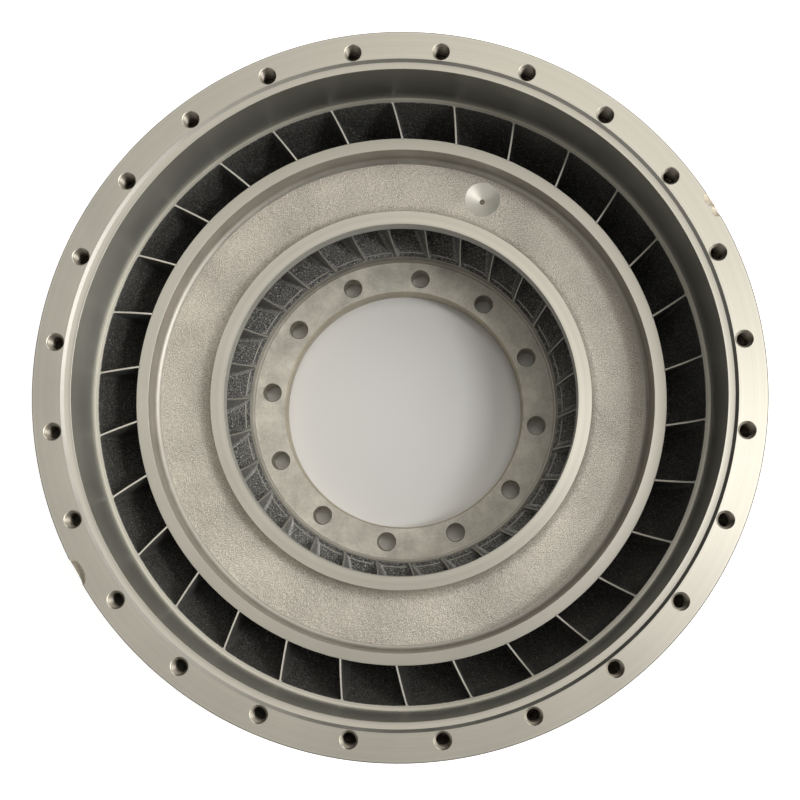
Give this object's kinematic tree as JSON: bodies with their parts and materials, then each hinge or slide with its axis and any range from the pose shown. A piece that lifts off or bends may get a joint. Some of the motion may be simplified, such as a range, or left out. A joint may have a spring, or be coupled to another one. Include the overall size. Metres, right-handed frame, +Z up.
{
  "type": "pump impeller of a torque converter",
  "caption": "Round cast aluminium pump wheel with a bolting flange, a bowl, a core ring and curved blades between them, and a flat hub ring with a wide bore.",
  "frame": {"origin": "centre of the hub's rear face, on the wheel's axis, which is the bottom centre of the bounding box", "axes": "+Z up along the wheel's axis from the hub's rear face to the open bolting flange, +X to the picture's right, +Y to its top"},
  "size_m": [0.36, 0.36, 0.12],
  "materials": {
    "machined_flange": "turned, fine concentric tool marks",
    "machined_hub": "turned, satin",
    "cast_bowl": "as cast, fine sand texture",
    "cast_core_ring": "as cast and blasted, with turned lands",
    "cast_blade": "as cast, with turned edges at the outlet"
  },
  "bodies": {
    "root": {"mounting_flange": "machined_flange", "bowl": "cast_bowl", "hub_flange": "machined_hub", "core_ring": "cast_core_ring", "blade_01": "cast_blade", "blade_02": "cast_blade", "blade_03": "cast_blade", "blade_04": "cast_blade", "blade_05": "cast_blade", "blade_06": "cast_blade", "blade_07": "cast_blade", "blade_08": "cast_blade", "blade_09": "cast_blade", "blade_10": "cast_blade", "blade_11": "cast_blade", "blade_12": "cast_blade", "blade_13": "cast_blade", "blade_14": "cast_blade", "blade_15": "cast_blade", "blade_16": "cast_blade", "blade_17": "cast_blade", "blade_18": "cast_blade", "blade_19": "cast_blade", "blade_20": "cast_blade", "blade_21": "cast_blade", "blade_22": "cast_blade", "blade_23": "cast_blade", "blade_24": "cast_blade", "blade_25": "cast_blade", "blade_26": "cast_blade", "blade_27": "cast_blade", "blade_28": "cast_blade", "blade_29": "cast_blade", "blade_30": "cast_blade"}
  },
  "joints": []
}
